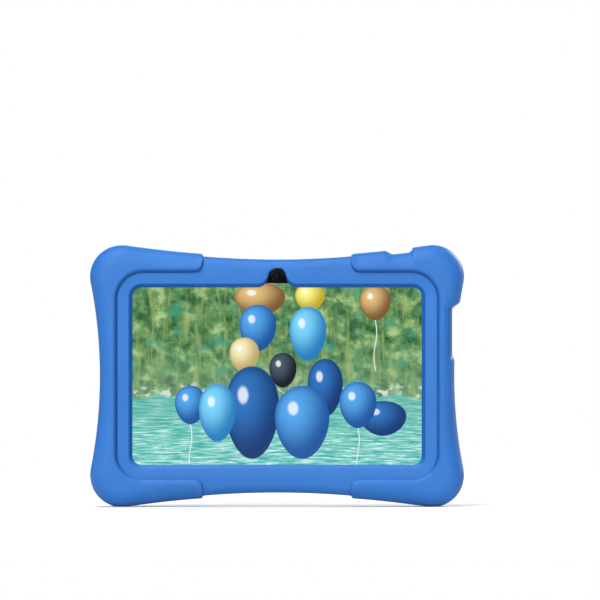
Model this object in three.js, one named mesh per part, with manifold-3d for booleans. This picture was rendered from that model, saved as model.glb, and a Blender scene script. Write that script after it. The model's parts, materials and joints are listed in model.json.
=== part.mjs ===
// A seven inch children's tablet in a soft blue bumper case, with a ring handle on a turntable at the back.
// Millimetres. X is to the right as the screen is seen, Y points from the screen to the back, Z is up.
// Solids are drawn about the middle of the screen side and the top group lifts them onto their feet.
import * as THREE from 'three';
import { mergeVertices } from 'three/addons/utils/BufferGeometryUtils.js';
import Module from 'manifold-3d';

const wasm = await Module();
wasm.setup();

// ---- Driving dimensions -------------------------------------------------------------------------------

const GAP = 0.3;                    // clearance between neighbouring pieces
const FOOT_LEVEL = -67.9;           // the lowest level of the case, below the middle of the screen side

// Outer outline of the case: four round corners joined by hollow curves.
const CASE = {
  sideWaist: 92.1,                  // half width at mid height
  topWaist: 62.2,                   // half height the top curve would have at mid width
  cornerX: 80.7,
  cornerZ: 51.6,
  cornerRadius: 16.5,
  front: -13.5,
  back: 13.5,
  edgeRound: 6,
};
const GRIP = {
  end: 38.5,                        // where each grip stops along the top and bottom edges
  frontX: 83,
  frontZ: 54.3,
  frontRadius: 13.5,
  backX: 82.5,
  backZ: 54,
  backRadius: 16,
};
const TRAY = {
  halfX: 89.5,
  halfZ: 57.6,
  radius: 11.5,
  front: -12,
  lipBack: -10.1,
  cavityBack: 0.1,
  back: 10.5,
  bandX: 38.2,
  bandWaist: 60.6,
  bandRadius: 450,
  bandBack: 12,
};
const SCREEN_WINDOW = { halfX: 75.1, halfZ: 46, radius: 4.7, slope: 2 };
const FRONT_EYE = { z: 51.6, radius: 4, flareX: 9.3 };
const REAR_WINDOW = { fromX: -4, toX: 10, z: 45.6, radius: 7, rim: 1.6, taper: 1.5 };

// The round recess at the back and everything that turns in it. Levels run along Y.
const RECESS_Z = -9;
const CUP = {
  radius: 45,
  inner: 42.6,
  flareFrom: 8.2,
  mouth: 45,
  rim: 46,
  floorFront: 2.1,
  floor: 3.6,
  back: 12,
  post: 6,
  postBack: 6.9,
};
const TABLE = { radius: 42.2, front: 3.9, back: 5.3, bore: 6.3, webBack: 5.7, pocket: 9.7, top: 10.5, plateau: 26.3 };
const RING = { inner: 27.6, outer: 41.6, front: 5.9, back: 12.3, round: 2.2, endX: 13.9 };
const HINGE = { y: 9.8, z: 34.2, pinRadius: 1, pinHalf: 19, blockHalf: 13.2, blockFoot: 26, blockBack: 12.2 };
const BUSH = { inner: 1.3, outer: 1.7, from: 6, to: 12.9 };

// The tablet inside the case.
const TABLET = { halfX: 87, halfZ: 55, radius: 9, front: -9.4, back: -0.2, wall: 1.4, floor: -1.4 };
const GLASS = { halfX: 85.2, halfZ: 53.2, radius: 7.2, front: -9.8, back: -8.8 };
const DISPLAY = { halfX: 77.9, top: 49.2, bottom: -49.8, front: -8.5, back: -7.3 };
const FRAME = { front: -8.5, plateFront: -5.5, plateBack: -4.7, rimX: 82, rimZ: 51.4 };
const KEY = { y: -4.8, half: 1.1, inner: 53.2, tip: 55.9, flange: 0.8 };
const POWER = { x: 47, half: 2.4 };
const VOLUME = { x: 65, half: 5.9 };
const LENS = { x: 0, lampX: 10, z: 45.5 };
const JACK = { z: 48, y: -4.2, radius: 2.3, opening: 3.6 };
const USB = { z: 30.5, half: 4.5, front: -4.95, back: -1.85 };
const CARD = { z: 16.2, half: 6, front: -2.85, back: -1.65 };
const MICROPHONE_Z = 24.2;
const SPEAKER_Z = -18.5;
const PORT_WINDOW = { bottom: 9.5, top: 36, front: -8.8, back: -1 };
const SCREWS = [[-80, 46], [80, 40], [-80, -46], [80, -46]];
const SCREW_RADIUS = 0.85;

// ---- Outlines in the screen plane, as lists of points ---------------------------------------------------

const degrees = (angle) => THREE.MathUtils.degToRad(angle);

function arc(x, z, radius, from, to, steps) {
  const points = [];
  for (let i = 0; i <= steps; i += 1) {
    const angle = degrees(from + (to - from) * i / steps);
    points.push(new THREE.Vector2(x + radius * Math.cos(angle), z + radius * Math.sin(angle)));
  }
  return points;
}

// Repeats the outline of the upper right quarter in the other three quarters.
function mirrorQuarter(quarter) {
  const flip = (sx, sz) => quarter.map((p) => new THREE.Vector2(sx * p.x, sz * p.y));
  const loop = [...quarter, ...flip(-1, 1).reverse(), ...flip(-1, -1), ...flip(1, -1).reverse()];
  return loop.filter((p, i) => p.distanceTo(loop[(i + 1) % loop.length]) > 1e-6);
}

function roundedRect(halfX, halfZ, radius, steps = 6) {
  return mirrorQuarter(arc(halfX - radius, halfZ - radius, radius, 0, 90, steps));
}

// A slot with round ends between two centres on one level.
function slot(fromX, toX, z, radius, steps = 10) {
  return [...arc(toX, z, radius, -90, 90, steps), ...arc(fromX, z, radius, 90, 270, steps)];
}

// The radius that makes a hollow curve through a waist meet the corner circle smoothly.
function waistRadius(waist, along, across) {
  const reach = along * along + (waist - across) ** 2 - CASE.cornerRadius ** 2;
  return reach / (2 * (CASE.cornerRadius - (waist - across)));
}

function caseOutline() {
  const { sideWaist, topWaist, cornerX, cornerZ, cornerRadius } = CASE;
  const sideRadius = waistRadius(sideWaist, cornerZ, cornerX);
  const topRadius = waistRadius(topWaist, cornerX, cornerZ);
  const sideAngle = THREE.MathUtils.radToDeg(Math.atan2(cornerZ, sideWaist + sideRadius - cornerX));
  const topAngle = THREE.MathUtils.radToDeg(Math.atan2(cornerX, topWaist + topRadius - cornerZ));
  return mirrorQuarter([
    ...arc(sideWaist + sideRadius, 0, sideRadius, 180, 180 - sideAngle, 4),
    ...arc(cornerX, cornerZ, cornerRadius, -sideAngle, 90 + topAngle, 10).slice(1, -1),
    ...arc(0, topWaist + topRadius, topRadius, -90 + topAngle, -90, 6),
  ]);
}

function bandOutline() {
  const reach = THREE.MathUtils.radToDeg(Math.asin((TRAY.bandX + 8) / TRAY.bandRadius));
  return mirrorQuarter(arc(0, TRAY.bandWaist + TRAY.bandRadius, TRAY.bandRadius, -90 + reach, -90, 4));
}

function frontEyeOutline() {
  const { z, radius, flareX } = FRONT_EYE;
  const floor = SCREEN_WINDOW.halfZ;
  const flank = new THREE.CubicBezierCurve(
    new THREE.Vector2(flareX, floor),
    new THREE.Vector2(6.4, floor + 0.4),
    new THREE.Vector2(5.4, floor + 3.2),
    new THREE.Vector2(radius, z),
  ).getPoints(5);
  const half = [...flank, ...arc(0, z, radius, 0, 90, 5).slice(1)];
  const other = half.slice(0, -1).reverse().map((p) => new THREE.Vector2(-p.x, p.y));
  return [new THREE.Vector2(-flareX, floor - 1), new THREE.Vector2(flareX, floor - 1), ...half, ...other];
}

// ---- Solids ---------------------------------------------------------------------------------------------

function toSolid(geometry) {
  const bare = geometry.clone();
  bare.deleteAttribute('normal');
  bare.deleteAttribute('uv');
  const merged = mergeVertices(bare, 1e-4);
  const corners = [];
  for (let i = 0; i < merged.index.count; i += 3) {
    const [a, b, c] = [0, 1, 2].map((k) => merged.index.getX(i + k));
    if (a !== b && b !== c && c !== a) corners.push(a, b, c);
  }
  return new wasm.Manifold(new wasm.Mesh({
    numProp: 3,
    vertProperties: merged.attributes.position.array,
    triVerts: new Uint32Array(corners),
  }));
}

// A flat piece: an outline in the screen plane, given depth from its front level to its back level.
function slab(outline, front, back, round = 0, steps = 3) {
  const geometry = new THREE.ExtrudeGeometry(new THREE.Shape(outline), {
    depth: back - front - 2 * round,
    bevelEnabled: round > 0,
    bevelThickness: round,
    bevelSize: round,
    bevelOffset: -round,
    bevelSegments: steps,
  });
  geometry.rotateX(Math.PI / 2);
  geometry.translate(0, back - round, 0);
  return toSolid(geometry);
}

// A hole cutter whose walls slope from its narrow level out to its wide level.
function funnel(outline, narrow, wide, slope) {
  const depth = 2;
  const height = Math.abs(wide - narrow);
  const geometry = new THREE.ExtrudeGeometry(new THREE.Shape(outline), {
    depth,
    bevelThickness: height,
    bevelSize: slope,
    bevelSegments: 1,
  });
  geometry.rotateX(Math.PI / 2);
  geometry.translate(0, wide > narrow ? wide + depth : wide, 0);
  return toSolid(geometry);
}

function box(x0, x1, y0, y1, z0, z1) {
  const geometry = new THREE.BoxGeometry(x1 - x0, y1 - y0, z1 - z0);
  geometry.translate((x0 + x1) / 2, (y0 + y1) / 2, (z0 + z1) / 2);
  return toSolid(geometry);
}

// A round bar along Y, at a place in the screen plane.
function barAlongY(radius, y0, y1, x = 0, z = 0, sides = 24) {
  const geometry = new THREE.CylinderGeometry(radius, radius, y1 - y0, sides);
  geometry.translate(x, (y0 + y1) / 2, z);
  return toSolid(geometry);
}

function barAlongX(radius, x0, x1, y, z, sides = 20) {
  const geometry = new THREE.CylinderGeometry(radius, radius, x1 - x0, sides);
  geometry.rotateZ(Math.PI / 2);
  geometry.translate((x0 + x1) / 2, y, z);
  return toSolid(geometry);
}

// A solid of revolution about the Y axis, from pairs of radius and level.
function turned(profile, sides) {
  const points = profile.map(([radius, level]) => new THREE.Vector2(radius, level));
  return toSolid(new THREE.LatheGeometry(points, sides));
}

function flatRing(inner, outer, front, back, sides = 32) {
  const corners = [[inner, front], [outer, front], [outer, back], [inner, back], [inner, front]];
  return turned(corners, sides);
}

// ---- Materials --------------------------------------------------------------------------------------------

const MATERIALS = {
  caseBlue: [0x2f74d8, 0.62, 0],
  gripBlue: [0x2b6fd6, 0.55, 0],
  turntableBlue: [0x2668c8, 0.45, 0],
  ringYellow: [0xf8ee5c, 0.4, 0],
  blackPlastic: [0x17181b, 0.45, 0],
  blackGlass: [0x05060a, 0.08, 0],
  displayFace: [0x4f9a6a, 0.3, 0],
  whiteSheet: [0xdedfd8, 0.5, 0],
  steel: [0xb4b8bd, 0.3, 1],
  nylon: [0xe4e2d8, 0.5, 0],
  boardGreen: [0x1d5a3a, 0.5, 0],
  batterySilver: [0xa9adb2, 0.35, 0.4],
  brass: [0xc7a657, 0.35, 1],
  lampAmber: [0xb07a4a, 0.3, 0],
};

function material(name) {
  const [color, roughness, metalness] = MATERIALS[name];
  return new THREE.MeshStandardMaterial({ color, roughness, metalness });
}

function piece(name, solid, finish) {
  const { vertProperties, triVerts } = solid.getMesh();
  const geometry = new THREE.BufferGeometry();
  geometry.setAttribute('position', new THREE.BufferAttribute(new Float32Array(vertProperties), 3));
  geometry.setIndex(new THREE.BufferAttribute(new Uint32Array(triVerts), 1));
  geometry.computeVertexNormals();
  const mesh = new THREE.Mesh(geometry, material(finish));
  mesh.name = name;
  return mesh;
}

// ---- Case ---------------------------------------------------------------------------------------------------

// Openings through the case wall, each a cutter that passes the tray and the right grip.
function portWindow() {
  const { bottom, top, front, back } = PORT_WINDOW;
  return box(TABLET.halfX - 1, 100, front, back, bottom, top);
}

function jackHole() {
  return barAlongX(JACK.opening, TABLET.halfX - 6, 100, JACK.y, JACK.z, 16);
}

function speakerScoop(fromX, front, halfZ) {
  const outline = roundedRect(10, halfZ, 5, 4).map((p) => new THREE.Vector2(p.x + fromX + 10, p.y + SPEAKER_Z));
  return slab(outline, front, 20);
}

// An upright prism through the top edge, eight sided like a picture frame with its corners cut.
function keyOpening(x, halfX, y, halfY, cut) {
  const outline = [
    [halfX, halfY - cut], [halfX - cut, halfY], [cut - halfX, halfY], [-halfX, halfY - cut],
    [-halfX, cut - halfY], [cut - halfX, -halfY], [halfX - cut, -halfY], [halfX, cut - halfY],
  ].map(([px, py]) => new THREE.Vector2(px, py));
  const geometry = new THREE.ExtrudeGeometry(new THREE.Shape(outline), { depth: 20, bevelEnabled: false });
  geometry.translate(x, y, TABLET.halfZ - 0.5);
  return toSolid(geometry);
}

function trayBands() {
  const { bandX, front, bandBack } = TRAY;
  const bands = slab(bandOutline(), front, bandBack, 3, 3);
  return bands.intersect(box(-bandX, bandX, -20, 20, -80, 80));
}

function caseTray() {
  const { halfX, halfZ, radius, front, lipBack, cavityBack, back, bandX, bandBack } = TRAY;
  const { fromX, toX, z, radius: eye, rim, taper } = REAR_WINDOW;
  const window = SCREEN_WINDOW;
  const windowOutline = roundedRect(window.halfX, window.halfZ, window.radius, 4);
  return slab(roundedRect(halfX, halfZ, radius), front, back)
    .add(trayBands())
    .subtract(box(-bandX - 1, bandX + 1, back, bandBack + 1, -GRIP.backZ, GRIP.backZ))
    .subtract(slab(roundedRect(TABLET.halfX + GAP, TABLET.halfZ + GAP, TABLET.radius + GAP), lipBack, cavityBack))
    .subtract(funnel(windowOutline, lipBack, front, window.slope))
    .subtract(slab(windowOutline, front, cavityBack))
    .subtract(slab(frontEyeOutline(), front - 1, cavityBack))
    .add(slab(slot(fromX, toX, z, eye + rim), back - 0.5, bandBack))
    .subtract(barAlongY(CUP.rim + GAP, back, back + 5, 0, RECESS_Z, 48))
    .subtract(funnel(slot(fromX, toX, z, eye - taper), cavityBack - 1, bandBack, taper))
    .subtract(barAlongY(CUP.radius + GAP, CUP.floorFront - GAP, back + 5, 0, RECESS_Z, 48))
    .subtract(portWindow())
    .subtract(jackHole())
    .subtract(keyOpening(VOLUME.x, 6.5, KEY.y, 3.6, 0.8))
    .subtract(keyOpening(POWER.x, 3.6, KEY.y, 3.2, 0.8))
    .subtract(speakerScoop(81, cavityBack - 0.2, 12.5));
}

// One grip: a thick C that wraps the front, the edge and the back of the tray at one side.
function gripBlank(side) {
  const { front, back, edgeRound } = CASE;
  const half = side > 0 ? [GRIP.end, 120] : [-120, -GRIP.end];
  return slab(caseOutline(), front, back, edgeRound, 3)
    .intersect(box(half[0], half[1], -20, 20, FOOT_LEVEL, 80))
    .subtract(slab(roundedRect(GRIP.frontX, GRIP.frontZ, GRIP.frontRadius), front - 1, TRAY.front))
    .subtract(slab(roundedRect(TRAY.halfX + GAP, TRAY.halfZ + GAP, TRAY.radius + GAP), TRAY.front - GAP, TRAY.back + GAP))
    .subtract(slab(roundedRect(GRIP.backX, GRIP.backZ, GRIP.backRadius), TRAY.back, back + 1));
}

// The side wall steps in beside the sockets, with sloping shoulders.
function socketStep() {
  const outline = [[91, 11.5], [92.2, 9], [110, 8.5], [110, 39.5], [95, 38.5], [91.8, 36.5], [91, 34.5]];
  return slab(outline.map(([x, z]) => new THREE.Vector2(x, z)), CASE.front - 1, CASE.back + 1);
}

function rightGrip() {
  return gripBlank(1)
    .subtract(socketStep())
    .subtract(portWindow())
    .subtract(jackHole())
    .subtract(keyOpening(VOLUME.x, 8, -2, 6.5, 3))
    .subtract(keyOpening(POWER.x, 4, -2.5, 4.5, 1.5))
    .subtract(speakerScoop(81.5, -4, 13.5));
}

function standCup() {
  const { radius, inner, flareFrom, mouth, rim, floorFront, floor, back, post, postBack } = CUP;
  return turned([
    [0, floorFront], [radius, floorFront], [radius, TRAY.back + GAP], [rim, TRAY.back + GAP], [rim, back - 0.5],
    [rim - 0.5, back], [mouth, back], [inner, flareFrom], [inner, floor], [post, floor],
    [post, postBack], [1.6, postBack], [1.6, floorFront + 0.8], [0, floorFront + 0.8],
  ], 48);
}

// ---- Turntable and ring, drawn about the middle of the recess -----------------------------------------------

function hingeBlock() {
  const { blockHalf, blockFoot, blockBack } = HINGE;
  const reach = THREE.MathUtils.radToDeg(Math.asin(blockHalf / RING.outer));
  const outline = [
    new THREE.Vector2(-blockHalf, blockFoot),
    new THREE.Vector2(blockHalf, blockFoot),
    ...arc(0, 0, RING.outer, 90 - reach, 90 + reach, 8),
  ];
  return slab(outline, TABLE.front, blockBack, 1.2, 2);
}

// Room in the rim of the turntable for the ends of the ring as they swing down past the pin.
function ringEndNotch(side) {
  const [x0, x1] = side > 0 ? [HINGE.blockHalf + 0.2, 24] : [-24, -HINGE.blockHalf - 0.2];
  return box(x0, x1, TABLE.front - 1, TABLE.back + 0.2, HINGE.z - 4.2, 45);
}

function turntable() {
  const { radius, front, back, bore, webBack, pocket, top, plateau } = TABLE;
  const disc = turned([
    [bore, front], [11.3, front], [11.3, top - 1.6], [24.8, top - 1.6], [25.6, front], [radius, front],
    [radius, back], [plateau + 0.8, back], [plateau, top], [pocket, top], [pocket, webBack], [bore, webBack],
    [bore, front],
  ], 48);
  return disc
    .add(hingeBlock())
    .subtract(ringEndNotch(1))
    .subtract(ringEndNotch(-1))
    .subtract(barAlongX(BUSH.outer + GAP, -20, 20, HINGE.y, HINGE.z));
}

function ringHandle() {
  const { inner, outer, front, back, round, endX } = RING;
  const circle = (r) => arc(0, 0, r, 0, 360, 48).slice(0, -1);
  const shape = new THREE.Shape(circle(outer));
  shape.holes.push(new THREE.Path(circle(inner).reverse()));
  const geometry = new THREE.ExtrudeGeometry(shape, {
    depth: back - front - 2 * round,
    bevelThickness: round,
    bevelSize: round,
    bevelOffset: -round,
    bevelSegments: 3,
  });
  geometry.rotateX(Math.PI / 2);
  geometry.translate(0, back - round, 0);
  return toSolid(geometry)
    .subtract(box(-endX, endX, front - 1, back + 1, 0, outer + 1))
    .subtract(barAlongX(HINGE.pinRadius + GAP, -HINGE.pinHalf - GAP, HINGE.pinHalf + GAP, HINGE.y, HINGE.z));
}

function hingeBush(side) {
  const [x0, x1] = side > 0 ? [BUSH.from, BUSH.to] : [-BUSH.to, -BUSH.from];
  return barAlongX(BUSH.outer, x0, x1, HINGE.y, HINGE.z)
    .subtract(barAlongX(BUSH.inner, x0 - 1, x1 + 1, HINGE.y, HINGE.z));
}

function hubScrew() {
  const head = 3.2;
  return turned([[0, 3.2], [1.3, 3.2], [1.3, 8.3], [head, 8.3], [head, 9], [head - 0.5, 9.3], [0, 9.3]], 16)
    .subtract(box(-2, 2, 8.8, 10, -0.4, 0.4));
}

// ---- Tablet ---------------------------------------------------------------------------------------------------

function keyHole(key, clearance) {
  const reach = key.half + clearance;
  return box(key.x - reach, key.x + reach, KEY.y - KEY.half - GAP, KEY.y + KEY.half + GAP, 53, 57);
}

function rearCover() {
  const { halfX, halfZ, radius, front, back, wall, floor } = TABLET;
  let cover = slab(roundedRect(halfX, halfZ, radius), front, back)
    .subtract(slab(roundedRect(halfX - wall, halfZ - wall, radius - wall), front - 1, floor));
  for (const [x, z] of SCREWS) {
    cover = cover.add(barAlongY(2.4, FRAME.plateBack + GAP, floor + 0.5, x, z, 16))
      .subtract(barAlongY(SCREW_RADIUS + GAP, front, floor - 0.4, x, z, 12));
  }
  for (let i = -2; i <= 2; i += 1) {
    const z = SPEAKER_Z + 3.4 * i;
    cover = cover.subtract(box(81.6, 85, floor - 1, back + 1, z - 0.6, z + 0.6));
  }
  return cover
    .subtract(keyHole(VOLUME, 0.4))
    .subtract(keyHole(POWER, 0.4))
    .subtract(box(85, 90, USB.front, USB.back, USB.z - USB.half, USB.z + USB.half))
    .subtract(box(85, 90, CARD.front + 0.1, CARD.back - 0.1, CARD.z - CARD.half, CARD.z + CARD.half))
    .subtract(barAlongX(0.6, 85, 90, -3.2, MICROPHONE_Z, 8))
    .subtract(barAlongX(JACK.radius - 0.2, 82, 90, JACK.y, JACK.z, 16))
    .subtract(slab(slot(LENS.x, LENS.lampX, LENS.z, 5.4), floor - 1, back + 1));
}

function midFrame() {
  const { front, plateFront, plateBack, rimX, rimZ } = FRAME;
  let frame = slab(roundedRect(GLASS.halfX, GLASS.halfZ, GLASS.radius), front, plateBack)
    .subtract(slab(roundedRect(rimX, rimZ, 5), front - 1, plateFront))
    .subtract(box(41, 74, -10, 0, 50.1, 60))
    .subtract(box(-3.7, 3.7, -10, 0, 49.4, 60))
    .subtract(box(78, 90, -7, 0, 45, 51))
    .subtract(box(76.6, 90, plateFront - 0.1, 0, USB.z - USB.half - 0.5, USB.z + USB.half + 0.5));
  for (const [x, z] of SCREWS) {
    frame = frame.subtract(barAlongY(SCREW_RADIUS + GAP, plateFront - 1, 0, x, z, 12));
  }
  return frame;
}

function displayLayer(front, back) {
  return box(-DISPLAY.halfX, DISPLAY.halfX, front, back, DISPLAY.bottom, DISPLAY.top);
}

function mainBoard() {
  return box(28, 84.8, -3.9, -3.1, -2, 48)
    .subtract(box(76.8, 86, -5, -2, 36.8, 49))
    .subtract(box(76.7, 86, -5, -2, USB.z - 5.2, USB.z + 5.2))
    .subtract(box(82.6, 86, -5, -2, MICROPHONE_Z - 2, MICROPHONE_Z + 2));
}

function keyCap(key) {
  const { y, half, inner, tip, flange } = KEY;
  return box(key.x - key.half, key.x + key.half, y - half, y + half, inner - 0.1, tip)
    .add(box(key.x - key.half - 0.8, key.x + key.half + 0.8, y - half - 0.4, y + half + 0.4, inner - flange, inner));
}

// A strip that carries one small dome switch under each given place.
function keySwitch(x0, x1, domes) {
  let strip = box(x0, x1, KEY.y - 1.4, KEY.y + 1.4, 50.4, 51);
  for (const x of domes) {
    strip = strip.add(box(x - 1.2, x + 1.2, KEY.y - 1, KEY.y + 1, 50.9, 51.7));
  }
  return strip;
}

function frontCamera() {
  return box(-3.2, 3.2, -7.6, -5, 49.9, 53.2)
    .add(barAlongY(1.5, -8.5, -7.5, 0, FRONT_EYE.z, 16));
}

function rearCamera() {
  return box(-4.2, 4.2, -4.3, -2.6, LENS.z - 4.2, LENS.z + 4.2)
    .add(barAlongY(3, -2.7, -1.2, LENS.x, LENS.z, 20));
}

function cameraTrim() {
  return slab(slot(LENS.x, LENS.lampX, LENS.z, 5.1), -1.3, 0.4)
    .subtract(barAlongY(3.5, -2, 1, LENS.x, LENS.z, 20))
    .subtract(barAlongY(2.8, -2, 1, LENS.lampX, LENS.z, 20));
}

function usbSocket() {
  const { z, half, front, back } = USB;
  return box(77, 85.3, front, back, z - half, z + half)
    .subtract(box(78, 90, front + 0.4, back - 0.4, z - half + 0.4, z + half - 0.4))
    .add(box(77.5, 83.5, -3.7, -3.1, z - 3.2, z + 3.2));
}

function headphoneJack() {
  return barAlongX(JACK.radius, 78.6, 83.4, JACK.y, JACK.z, 16)
    .subtract(barAlongX(1.75, 79.4, 90, JACK.y, JACK.z, 16));
}

function cardSocket() {
  const { z, half, front, back } = CARD;
  return box(71, 85.3, front, back, z - half, z + half)
    .subtract(box(72, 90, front + 0.3, back - 0.3, z - half + 0.5, z + half - 0.5));
}

function frameScrew(x, z) {
  const profile = [[0, -6.5], [1.4, -6.5], [1.6, -6.2], [1.6, -5.8], [SCREW_RADIUS, -5.8], [SCREW_RADIUS, -2.1], [0, -2.1]];
  return turned(profile, 12).translate([x, 0, z]);
}

// ---- Assembly ---------------------------------------------------------------------------------------------------

const tabletGroup = new THREE.Group();
tabletGroup.add(
  piece('tablet_rear_cover', rearCover(), 'blackPlastic'),
  piece('mid_frame', midFrame(), 'steel'),
  piece('cover_glass', slab(roundedRect(GLASS.halfX, GLASS.halfZ, GLASS.radius), GLASS.front, GLASS.back), 'blackGlass'),
  piece('display_panel', displayLayer(DISPLAY.front, DISPLAY.back), 'displayFace'),
  piece('backlight_unit', displayLayer(DISPLAY.back + GAP, FRAME.plateFront - GAP), 'whiteSheet'),
  piece('main_board', mainBoard(), 'boardGreen'),
  piece('shield_can', box(36, 62, -2.8, -1.8, 8, 38), 'steel'),
  piece('battery', box(-72, 24, -4.3, -1.8, -42, 30), 'batterySilver'),
  piece('speaker', box(74, 85, -4.2, -1.7, SPEAKER_Z - 11, SPEAKER_Z + 11), 'blackPlastic'),
  piece('microphone', box(83, 85.2, -4.4, -2, MICROPHONE_Z - 1.5, MICROPHONE_Z + 1.5), 'steel'),
  piece('usb_socket', usbSocket(), 'steel'),
  piece('headphone_jack', headphoneJack(), 'brass'),
  piece('card_socket', cardSocket(), 'steel'),
  piece('front_camera', frontCamera(), 'blackPlastic'),
  piece('rear_camera', rearCamera(), 'blackPlastic'),
  piece('rear_camera_glass', barAlongY(3.1, -0.9, 0.1, LENS.x, LENS.z, 20), 'blackGlass'),
  piece('camera_trim', cameraTrim(), 'blackPlastic'),
  piece('flash_lamp', barAlongY(2.4, -1, 0.1, LENS.lampX, LENS.z, 20), 'lampAmber'),
  piece('power_button', keyCap(POWER), 'blackPlastic'),
  piece('volume_rocker', keyCap(VOLUME), 'blackPlastic'),
  piece('power_switch', keySwitch(44, 50, [POWER.x]), 'nylon'),
  piece('volume_switch', keySwitch(58, 72, [VOLUME.x - 4, VOLUME.x + 4]), 'nylon'),
);
SCREWS.forEach(([x, z], i) => tabletGroup.add(piece(`frame_screw_${i + 1}`, frameScrew(x, z), 'steel')));

const caseGroup = new THREE.Group();
caseGroup.add(
  piece('case_tray', caseTray(), 'caseBlue'),
  piece('left_grip', gripBlank(-1), 'gripBlue'),
  piece('right_grip', rightGrip(), 'gripBlue'),
);

const standGroup = new THREE.Group();
standGroup.position.z = RECESS_Z;
standGroup.add(
  piece('stand_cup', standCup(), 'caseBlue'),
  piece('turntable', turntable(), 'turntableBlue'),
  piece('ring_handle', ringHandle(), 'ringYellow'),
  piece('hinge_pin', barAlongX(HINGE.pinRadius, -HINGE.pinHalf, HINGE.pinHalf, HINGE.y, HINGE.z), 'steel'),
  piece('hinge_bush_left', hingeBush(-1), 'nylon'),
  piece('hinge_bush_right', hingeBush(1), 'nylon'),
  piece('friction_washer', flatRing(6.4, 9.2, TABLE.webBack + GAP, CUP.postBack), 'nylon'),
  piece('retaining_washer', flatRing(1.6, 9.2, CUP.postBack + GAP, 8), 'steel'),
  piece('turntable_screw', hubScrew(), 'steel'),
  piece('turntable_cap', barAlongY(TABLE.pocket - GAP, 9.6, 10.4, 0, 0, 36), 'turntableBlue'),
);

const group = new THREE.Group();
group.position.z = -FOOT_LEVEL;
group.add(caseGroup, standGroup, tabletGroup);

export default group;
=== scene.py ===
# The looks of a children's tablet in a blue bumper case with a yellow ring handle, round its CAD frame.
# Shapes are written in millimetres about the middle of the screen side: x to the right, y from the screen
# to the back, v up. point() turns them into metres in the frame.
import json
import math

import bmesh
import bpy
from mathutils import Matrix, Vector


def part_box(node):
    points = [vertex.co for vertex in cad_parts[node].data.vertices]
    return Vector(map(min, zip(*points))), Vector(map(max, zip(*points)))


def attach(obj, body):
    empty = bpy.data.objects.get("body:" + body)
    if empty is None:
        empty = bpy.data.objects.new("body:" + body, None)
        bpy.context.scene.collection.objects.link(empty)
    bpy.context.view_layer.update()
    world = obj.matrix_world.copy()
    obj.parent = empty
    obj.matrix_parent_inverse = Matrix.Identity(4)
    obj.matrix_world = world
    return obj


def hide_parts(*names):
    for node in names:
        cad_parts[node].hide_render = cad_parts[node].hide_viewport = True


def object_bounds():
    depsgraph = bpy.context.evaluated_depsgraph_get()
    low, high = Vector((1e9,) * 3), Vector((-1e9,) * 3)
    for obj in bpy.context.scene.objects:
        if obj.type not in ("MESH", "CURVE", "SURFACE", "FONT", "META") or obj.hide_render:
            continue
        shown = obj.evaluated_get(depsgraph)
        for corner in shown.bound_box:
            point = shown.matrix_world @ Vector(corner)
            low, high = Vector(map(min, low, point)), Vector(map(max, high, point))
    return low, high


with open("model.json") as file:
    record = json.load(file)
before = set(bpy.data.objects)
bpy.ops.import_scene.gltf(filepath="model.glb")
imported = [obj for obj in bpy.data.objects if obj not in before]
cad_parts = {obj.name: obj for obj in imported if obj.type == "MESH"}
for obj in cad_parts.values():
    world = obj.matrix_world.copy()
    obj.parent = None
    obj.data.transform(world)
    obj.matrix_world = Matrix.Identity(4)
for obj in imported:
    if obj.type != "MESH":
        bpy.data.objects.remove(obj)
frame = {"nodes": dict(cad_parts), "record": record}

cad_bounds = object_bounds()
scene = bpy.context.scene
MM = 0.001

# ---- Places taken from the frame -----------------------------------------------------------------


def middle(node):
    """Middle of a CAD node's box, in metres."""
    low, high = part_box(node)
    return (low + high) / 2


def span(node):
    """Lowest and highest corner of a CAD node in millimetres, with its height about the screen's middle."""
    low, high = (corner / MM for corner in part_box(node))
    return (low.x, low.y, low.z - MIDDLE), (high.x, high.y, high.z - MIDDLE)


MIDDLE = middle("cover_glass").z / MM
RECESS = middle("stand_cup").z / MM - MIDDLE
FOOT = cad_bounds[0].z / MM - MIDDLE
FRONT = cad_bounds[0].y / MM
BACK = cad_bounds[1].y / MM
GLASS_LOW, GLASS_HIGH = span("cover_glass")

# ---- Driving sizes of the case -------------------------------------------------------------------

# Rounded outlines are given as half width, half height and corner radius.
SIDE_WAIST = 92.1                      # half width of the case at mid height
TOP_WAIST = 62.2                       # half height that the top curve has at mid width
CORNER = (80.7, 51.6)                  # centre of the round corners
CORNER_RADIUS = 16.5
GRIP_END = 38.5                        # where the grips stop along the top and bottom edges
GRIP_FRONT_INNER = (83, 53.7, 13.5)    # the grips' edge on the tray's front, and on its back
GRIP_BACK_INNER = (82.5, 54, 16)
TRAY_WALL = (89.5, 57.6, 11.5)         # the tray under the grips
TRAY_FRONT, TRAY_BACK = -11.75, 10
BAND_X = 38.45                         # half width of the tray that shows between the grips
BAND_WAIST = 60.6                      # its half height at mid width, and the radius of its edge
BAND_RADIUS = 450
BAND_BACK = 12
CAVITY = (87.3, 55.3, 9.3)             # the room for the tablet
RIDGE = (81.5, 54, 15)                 # where the tray's back wall begins
WINDOW = (75.1, 46, 4.7)               # the opening round the screen
LIP_WIDTH, NOTCH_LIP_WIDTH = 2.2, 1.3  # of the lip round the window, and round the notch
EYE_V = 51.6                           # the front camera's place in the notch above the window
EYE_RADIUS = 3.8                       # the notch's round top, and half the width that it flares to
EYE_FLARE = 10.2
SIDE_STEP_X = 91                       # the right grip steps in to this beside the sockets
CUP_RIM, CUP_MOUTH, CUP_INNER = 46, 45, 42.6     # radii of the cup
CUP_FLARE_Y = 8.2                      # the level from which it opens to its mouth
CUP_FLOOR = 3.6
LENS_V = 45.5                          # height of the rear camera's lens
LAMP_X = 10                            # the flash lamp, beside the lens
REAR_WINDOW = (-4, LAMP_X, 45.6)       # the long window over both: its two centres and its height

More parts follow.
